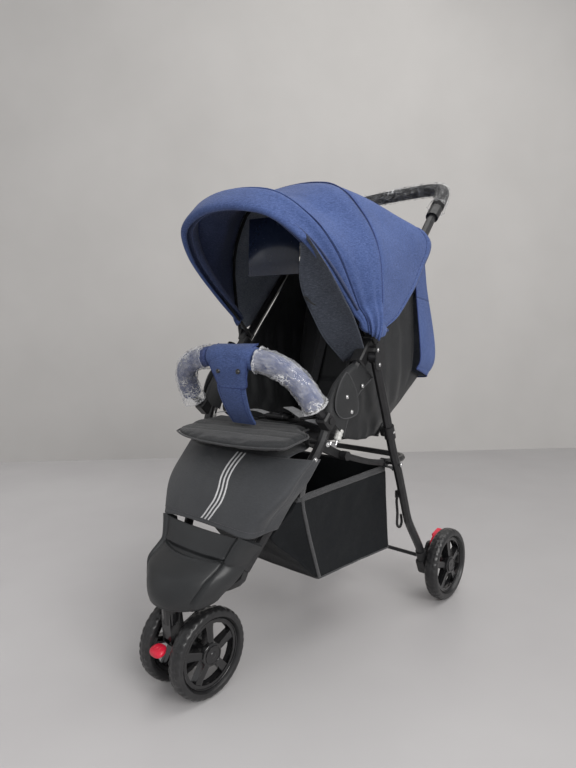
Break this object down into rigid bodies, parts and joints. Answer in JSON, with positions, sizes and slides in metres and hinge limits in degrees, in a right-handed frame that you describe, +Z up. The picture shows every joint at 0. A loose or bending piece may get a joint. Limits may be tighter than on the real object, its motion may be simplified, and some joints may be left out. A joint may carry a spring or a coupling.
{
  "type": "three-wheel stroller",
  "caption": "Folding three-wheel stroller with a swivelling twin front wheel, arched canopy, padded bumper bar, reclining seat, leg rest, push handle and storage basket.",
  "frame": {"origin": "on the ground, under the middle of the whole stroller", "axes": "-Y is the way the stroller faces, +X is its right side seen from the front, +Z is up; it is symmetric about x = 0 but for one hook and the nose's slot"},
  "size_m": [0.42, 0.7981, 1.0141],
  "materials": {
    "apron": "woven",
    "backrest": "woven",
    "basket": "woven with mesh",
    "brake_housing_left": "moulded",
    "brake_housing_right": "moulded",
    "brake_pedal_left": "moulded",
    "brake_pedal_right": "moulded",
    "bumper_button_left": "moulded",
    "bumper_button_right": "moulded",
    "bumper_foam_left": "woven cover on foam",
    "bumper_foam_right": "woven cover on foam",
    "bumper_socket_left": "moulded",
    "bumper_socket_right": "moulded",
    "bumper_tube": "satin",
    "canopy_front_bow": "coated wire",
    "canopy_front_panel": "woven melange",
    "canopy_mid_bow": "coated wire",
    "canopy_rear_panel": "woven melange",
    "caster_fork": "glossy",
    "crotch_cover": "woven melange",
    "fold_joint_left": "moulded, fine texture",
    "fold_joint_right": "moulded, fine texture",
    "front_axle": "zinc plated",
    "front_wheel_left_rim": "glossy",
    "front_wheel_left_tyre": "foamed tread",
    "front_wheel_right_rim": "glossy",
    "front_wheel_right_tyre": "foamed tread",
    "front_yoke": "moulded",
    "grip_cap_left": "moulded",
    "grip_cap_right": "moulded",
    "handle_grip": "foam grip",
    "harness_buckle": "moulded",
    "leg_rest": "woven, padded",
    "lock_channel_left": "zinc plated",
    "lock_channel_right": "zinc plated",
    "lock_sleeve_left": "moulded, ribbed",
    "lock_sleeve_right": "moulded, ribbed",
    "nose_cover": "moulded, fine texture",
    "push_handle": "satin powder coat",
    "rear_crossbar": "satin powder coat",
    "rear_flap": "woven melange",
    "rear_leg_left": "satin powder coat",
    "rear_leg_right": "satin powder coat",
    "rear_wheel_left_rim": "glossy",
    "rear_wheel_left_tyre": "foamed tread",
    "rear_wheel_right_rim": "glossy",
    "rear_wheel_right_tyre": "foamed tread",
    "seat_pan": "woven",
    "seat_rail": "satin powder coat",
    "seat_sling": "woven",
    "side_link_left": "satin",
    "side_link_right": "satin",
    "side_tube_left": "satin powder coat",
    "side_tube_right": "satin powder coat",
    "side_wing_left": "woven melange",
    "side_wing_right": "woven melange",
    "storage_hook": "moulded",
    "swivel_lock_tab": "moulded",
    "waist_strap_left": "webbing",
    "waist_strap_right": "webbing"
  },
  "bodies": {
    "frame": {"side_tube_left": "side_tube_left", "side_tube_right": "side_tube_right", "push_handle": "push_handle", "handle_grip": "handle_grip", "grip_cap_left": "grip_cap_left", "grip_cap_right": "grip_cap_right", "fold_joint_left": "fold_joint_left", "fold_joint_right": "fold_joint_right", "nose_cover": "nose_cover", "front_yoke": "front_yoke", "bumper_socket_left": "bumper_socket_left", "bumper_socket_right": "bumper_socket_right", "lock_channel_left": "lock_channel_left", "lock_channel_right": "lock_channel_right", "canopy_rear_panel": "canopy_rear_panel", "seat_pan": "seat_pan", "side_wing_left": "side_wing_left", "side_wing_right": "side_wing_right", "waist_strap_left": "waist_strap_left", "waist_strap_right": "waist_strap_right", "harness_buckle": "harness_buckle", "apron": "apron", "basket": "basket", "rear_flap": "rear_flap", "seat_sling": "seat_sling"},
    "rear_legs": {"rear_leg_left": "rear_leg_left", "rear_leg_right": "rear_leg_right", "brake_housing_left": "brake_housing_left", "brake_housing_right": "brake_housing_right", "rear_crossbar": "rear_crossbar", "storage_hook": "storage_hook"},
    "side_links": {"side_link_left": "side_link_left", "side_link_right": "side_link_right"},
    "seat_rail": {"seat_rail": "seat_rail"},
    "brake_left": {"brake_pedal_left": "brake_pedal_left"},
    "brake_right": {"brake_pedal_right": "brake_pedal_right"},
    "rear_wheel_left": {"rear_wheel_left_tyre": "rear_wheel_left_tyre", "rear_wheel_left_rim": "rear_wheel_left_rim"},
    "rear_wheel_right": {"rear_wheel_right_tyre": "rear_wheel_right_tyre", "rear_wheel_right_rim": "rear_wheel_right_rim"},
    "caster": {"caster_fork": "caster_fork", "front_axle": "front_axle"},
    "front_wheel_left": {"front_wheel_left_tyre": "front_wheel_left_tyre", "front_wheel_left_rim": "front_wheel_left_rim"},
    "front_wheel_right": {"front_wheel_right_tyre": "front_wheel_right_tyre", "front_wheel_right_rim": "front_wheel_right_rim"},
    "swivel_lock": {"swivel_lock_tab": "swivel_lock_tab"},
    "canopy_mid": {"canopy_mid_bow": "canopy_mid_bow"},
    "canopy_front": {"canopy_front_bow": "canopy_front_bow", "canopy_front_panel": "canopy_front_panel"},
    "bumper": {"bumper_tube": "bumper_tube", "bumper_foam_left": "bumper_foam_left", "bumper_foam_right": "bumper_foam_right", "crotch_cover": "crotch_cover"},
    "bumper_button_left": {"bumper_button_left": "bumper_button_left"},
    "bumper_button_right": {"bumper_button_right": "bumper_button_right"},
    "lock_sleeve_left": {"lock_sleeve_left": "lock_sleeve_left"},
    "lock_sleeve_right": {"lock_sleeve_right": "lock_sleeve_right"},
    "backrest": {"backrest": "backrest"},
    "leg_rest": {"leg_rest": "leg_rest"}
  },
  "joints": [
    {"name": "fold", "type": "hinge", "parent": "frame", "child": "rear_legs", "pos_m": [0, -0.0119, 0.598], "axis": [-1, 0, 0], "range_deg": [0, 45], "deforming": ["basket"]},
    {"name": "link_fold", "type": "hinge", "parent": "frame", "child": "side_links", "pos_m": [0, -0.1339, 0.444], "axis": [1, 0, 0], "range_deg": [0, 52]},
    {"name": "rail_fold", "type": "hinge", "parent": "rear_legs", "child": "seat_rail", "pos_m": [0, 0.1041, 0.366], "axis": [-1, 0, 0], "range_deg": [0, 51]},
    {"name": "rear_wheel_left_spin", "type": "hinge", "parent": "rear_legs", "child": "rear_wheel_left", "pos_m": [-0.1925, 0.3141, 0.085], "axis": [1, 0, 0], "continuous": true},
    {"name": "rear_wheel_right_spin", "type": "hinge", "parent": "rear_legs", "child": "rear_wheel_right", "pos_m": [0.1925, 0.3141, 0.085], "axis": [1, 0, 0], "continuous": true},
    {"name": "brake_left_press", "type": "hinge", "parent": "rear_legs", "child": "brake_left", "pos_m": [-0.168, 0.3081, 0.124], "axis": [-1, 0, 0], "range_deg": [0, 15]},
    {"name": "brake_right_press", "type": "hinge", "parent": "rear_legs", "child": "brake_right", "pos_m": [0.168, 0.3081, 0.124], "axis": [-1, 0, 0], "range_deg": [0, 15]},
    {"name": "caster_swivel", "type": "hinge", "parent": "frame", "child": "caster", "pos_m": [0, -0.3569, 0.16], "axis": [0, 0, 1], "continuous": true},
    {"name": "front_wheel_left_spin", "type": "hinge", "parent": "caster", "child": "front_wheel_left", "pos_m": [-0.043, -0.3119, 0.08], "axis": [1, 0, 0], "continuous": true},
    {"name": "front_wheel_right_spin", "type": "hinge", "parent": "caster", "child": "front_wheel_right", "pos_m": [0.043, -0.3119, 0.08], "axis": [1, 0, 0], "continuous": true},
    {"name": "swivel_lock_flip", "type": "hinge", "parent": "caster", "child": "swivel_lock", "pos_m": [0, -0.3659, 0.099], "axis": [-1, 0, 0], "range_deg": [0, 20]},
    {"name": "canopy_fold", "type": "hinge", "parent": "frame", "child": "canopy_mid", "pos_m": [0, 0.0041, 0.64], "axis": [-1, 0, 0], "range_deg": [0, 35], "deforming": ["canopy_rear_panel"]},
    {"name": "canopy_front_fold", "type": "hinge", "parent": "canopy_mid", "child": "canopy_front", "pos_m": [0, 0.0041, 0.64], "axis": [-1, 0, 0], "range_deg": [0, 31.5], "deforming": ["canopy_front_panel"]},
    {"name": "bumper_pull", "type": "slide", "parent": "frame", "child": "bumper", "axis": [0, -0.72, 0.694], "range_m": [0, 0.03]},
    {"name": "bumper_button_left_press", "type": "slide", "parent": "frame", "child": "bumper_button_left", "axis": [1, 0, 0], "range_m": [0, 0.002], "stiffness_N_per_m": 400},
    {"name": "bumper_button_right_press", "type": "slide", "parent": "frame", "child": "bumper_button_right", "axis": [-1, 0, 0], "range_m": [0, 0.002], "stiffness_N_per_m": 400},
    {"name": "lock_sleeve_left_lift", "type": "slide", "parent": "frame", "child": "lock_sleeve_left", "axis": [0, 0.4683, 0.8836], "range_m": [0, 0.008], "stiffness_N_per_m": 250},
    {"name": "lock_sleeve_right_lift", "type": "slide", "parent": "frame", "child": "lock_sleeve_right", "axis": [0, 0.4683, 0.8836], "range_m": [0, 0.008], "stiffness_N_per_m": 250},
    {"name": "backrest_recline", "type": "hinge", "parent": "frame", "child": "backrest", "pos_m": [0, 0.1061, 0.47], "axis": [-1, 0, 0], "range_deg": [0, 20], "deforming": ["rear_flap"]},
    {"name": "leg_rest_tilt", "type": "hinge", "parent": "frame", "child": "leg_rest", "pos_m": [0, -0.1219, 0.462], "axis": [1, 0, 0], "range_deg": [0, 10]}
  ],
  "couplings": [
    {"joint": "link_fold", "follows": "fold", "ratio": 1.1376},
    {"joint": "rail_fold", "follows": "fold", "ratio": 1.1084},
    {"joint": "canopy_front_fold", "follows": "canopy_fold", "ratio": 0.9}
  ]
}
